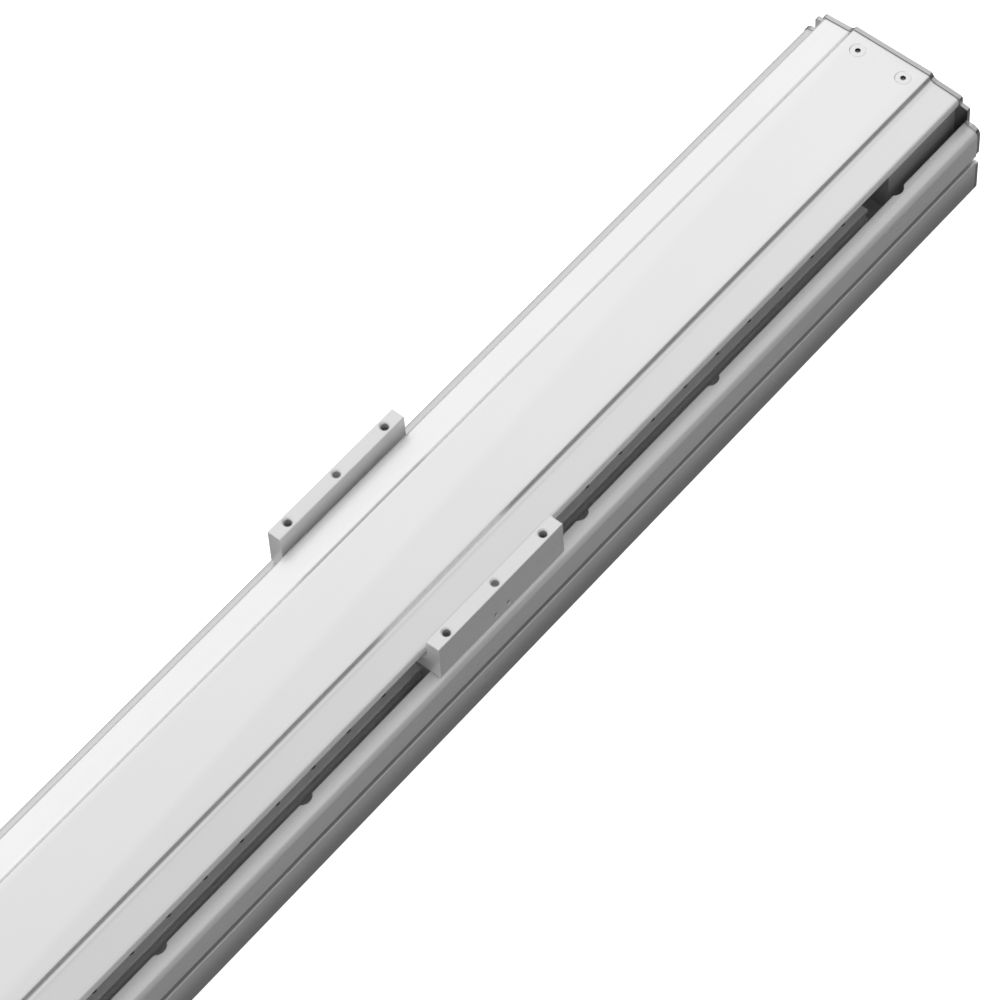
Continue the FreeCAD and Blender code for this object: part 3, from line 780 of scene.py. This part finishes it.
class MODULE_OT_slider_threads(bpy.types.Operator):
    """Wind the threads in the slider's screw holes"""

    bl_idname = "module.slider_threads"
    bl_label = "Slider Threads"

    def execute(self, context):
        sizes = context.scene.module_screws
        table = self.wound(sizes, "slider_holes", sizes.table_pitch, sizes.table_thread)
        flag = self.wound(sizes, "flag_holes", sizes.flag_pitch, sizes.flag_thread)
        # The table threads carry painted shade, and the flag threads carry the socket shade.
        placed(table, "slider_threads", "thread_shade_aluminium", "slider")
        placed(flag, "flag_threads", "socket_shade", "slider")
        return {"FINISHED"}

    @staticmethod
    def wound(sizes, pattern, pitch, reach):
        """Threads in the holes of one of the record's bolt patterns."""
        bm = bmesh.new()
        mount = bolt_pattern(pattern)
        dims = mount["dims"]
        axis = Vector(mount["axis"])
        middle = Vector(mount["pos_m"]) - axis * (reach + pitch / 2)
        x, y = (dims.get(key, 0) / MM_PER_M / 2 for key in ("spacing_x_mm", "spacing_y_mm"))
        root = dims["hole_r_mm"] / MM_PER_M + sizes.thread_bite
        ridge = [(root, -pitch / 2), (root - sizes.thread_height, 0), (root, pitch / 2)]
        turns = round(reach / pitch)
        steps = turns * sizes.small_segments
        aside = axis.orthogonal().normalized()
        for shift in sorted({(x, y), (-x, y), (x, -y), (-x, -y)}):
            spot = middle + Vector((*shift, 0))
            points = [bm.verts.new(spot + aside * radius + axis * height) for radius, height in ridge]
            edges = [bm.edges.new(pair) for pair in zip(points, points[1:] + points[:1])]
            bmesh.ops.spin(
                bm, geom=points + edges, cent=spot, axis=axis, angle=turns * 2 * math.pi, steps=steps,
                dvec=axis * (reach / steps), use_merge=False,
            )
        bmesh.ops.holes_fill(bm, edges=[edge for edge in bm.edges if edge.is_boundary], sides=3)
        return bm


class MODULE_OT_studio(bpy.types.Operator):
    """Lay the floor, set the lights and place the camera"""

    bl_idname = "module.studio"
    bl_label = "Studio"

    def execute(self, context):
        settings = context.scene.module_studio
        context.scene.view_settings.view_transform = "Standard"
        self.floor(context, settings)
        self.sky(context, settings)
        self.lamp(context, settings)
        self.camera(context, settings)
        return {"FINISHED"}

    def floor(self, context, settings):
        """Pale floor for the eye, and a grey card under it for what mirrors it."""
        pale = Finish("pale_floor", metallic=0.0, roughness=0.9)
        pale.tint(settings.floor, pale.noise(EVEN, scale=0.8), darker=0.985)
        pale.shader.inputs["Emission Color"].default_value = WHITE
        pale.shader.inputs["Emission Strength"].default_value = settings.floor_glow
        floor = self.sheet(context, settings, "floor", 0.0, pale.material)
        floor.visible_diffuse = False
        floor.visible_glossy = False
        floor.visible_shadow = False
        grey = Finish("grey_card", metallic=0.0, roughness=0.9)
        grey.tint(settings.card, grey.noise(EVEN, scale=0.8), darker=0.985)
        card = self.sheet(context, settings, "card", -settings.card_drop, grey.material)
        card.visible_camera = False

    def sheet(self, context, settings, name, height, material):
        bm = bmesh.new()
        place = Matrix.Translation((0, 0, height))
        bmesh.ops.create_grid(bm, x_segments=1, y_segments=1, size=settings.floor_size / 2, matrix=place)
        mesh = bpy.data.meshes.new(name)
        bm.to_mesh(mesh)
        bm.free()
        mesh.materials.append(material)
        made = bpy.data.objects.new(name, mesh)
        context.scene.collection.objects.link(made)
        return made

    def sky(self, context, settings):
        """A bright wall on the motor side, a pale ceiling, and a dim horizon on the other side."""
        world = bpy.data.worlds.new("studio")
        world.use_nodes = True
        nodes = Nodes(world.node_tree)
        way = nodes.node("ShaderNodeTexCoord").outputs["Generated"]
        parts = nodes.node("ShaderNodeSeparateXYZ", inputs={0: way})
        side, height = parts.outputs["Y"], parts.outputs["Z"]
        motor_side = nodes.ramp(side, *SIDE_CHANGE, 0.0, 1.0)
        wall = nodes.ramp(height, *WALL_RISE, settings.wall_low, settings.wall_high)
        wall = wall - nodes.ramp(height, *WALL_FALL, 0.0, settings.wall_fall)
        slope = nodes.ramp(height, *SLOPE_RISE, 0.0, settings.slope)
        above = nodes.ramp(height, *CEILING_RISE, 0.0, 1.0)
        around = motor_side * wall + (1.0 - motor_side) * slope
        light = settings.ceiling * above + (1.0 - above) * around
        background = world.node_tree.nodes["Background"]
        background.inputs["Color"].default_value = WHITE
        nodes.feed(background.inputs["Strength"], light)
        context.scene.world = world

    def lamp(self, context, settings):
        spot = Vector(settings.lamp_spot)
        data = bpy.data.lights.new("lamp", "AREA")
        data.shape = "SQUARE"
        data.size = settings.lamp_size
        data.energy = settings.lamp_power
        made = bpy.data.objects.new("lamp", data)
        made.location = spot
        made.rotation_euler = (-spot).to_track_quat("-Z", "Y").to_euler()
        context.scene.collection.objects.link(made)

    def camera(self, context, settings):
        """Camera that is turned round the aim point and rolled, then shifted in its own plane."""
        azimuth, elevation, roll = settings.azimuth, settings.elevation, settings.roll
        flat = Vector((math.cos(azimuth), math.sin(azimuth), 0))
        away = Vector((math.sin(azimuth), -math.cos(azimuth), 0))
        rise = UP * math.cos(elevation) - away * math.sin(elevation)
        back = UP * math.sin(elevation) + away * math.cos(elevation)
        right = flat * math.cos(roll) + rise * math.sin(roll)
        upright = rise * math.cos(roll) - flat * math.sin(roll)
        spot = right * settings.aside + upright * settings.above + back * settings.distance
        spot.z += settings.aim_height
        data = bpy.data.cameras.new("camera")
        data.lens = settings.lens
        data.sensor_width = settings.sensor
        data.clip_end = settings.sight
        made = bpy.data.objects.new("camera", data)
        turn = Matrix((right, upright, back)).transposed().to_4x4()
        made.matrix_world = Matrix.Translation(spot) @ turn
        context.scene.collection.objects.link(made)
        context.scene.camera = made


STEPS = (
    MODULE_OT_finishes,
    MODULE_OT_cover_screws,
    MODULE_OT_rail_bolts,
    MODULE_OT_flange_screws,
    MODULE_OT_belt_teeth,
    MODULE_OT_slider_threads,
    MODULE_OT_studio,
)


class MODULE_PT_panel(bpy.types.Panel):
    """Steps and settings of the linear module"""

    bl_idname = "MODULE_PT_panel"
    bl_label = "Linear Module"
    bl_space_type = "VIEW_3D"
    bl_region_type = "UI"
    bl_category = "Linear Module"

    def draw(self, context):
        for step in STEPS:
            self.layout.operator(step.bl_idname)
        scene = context.scene
        groups = (scene.module_screws, scene.module_belt, scene.module_colours, scene.module_studio)
        for settings in groups:
            for name in settings.bl_rna.properties.keys():
                if name not in ("rna_type", "name"):
                    self.layout.prop(settings, name)


CLASSES = (ScrewSizes, BeltSizes, FinishColours, StudioSettings, *STEPS, MODULE_PT_panel)


def register():
    for cls in CLASSES:
        bpy.utils.register_class(cls)
    bpy.types.Scene.module_screws = PointerProperty(type=ScrewSizes)
    bpy.types.Scene.module_belt = PointerProperty(type=BeltSizes)
    bpy.types.Scene.module_colours = PointerProperty(type=FinishColours)
    bpy.types.Scene.module_studio = PointerProperty(type=StudioSettings)


def unregister():
    del bpy.types.Scene.module_studio
    del bpy.types.Scene.module_colours
    del bpy.types.Scene.module_belt
    del bpy.types.Scene.module_screws
    for cls in reversed(CLASSES):
        bpy.utils.unregister_class(cls)


def main():
    register()
    bpy.ops.module.finishes()
    bpy.ops.module.cover_screws()
    bpy.ops.module.rail_bolts()
    bpy.ops.module.flange_screws()
    bpy.ops.module.belt_teeth()
    bpy.ops.module.slider_threads()
    bpy.ops.module.studio()


if __name__ == "__main__":
    main()
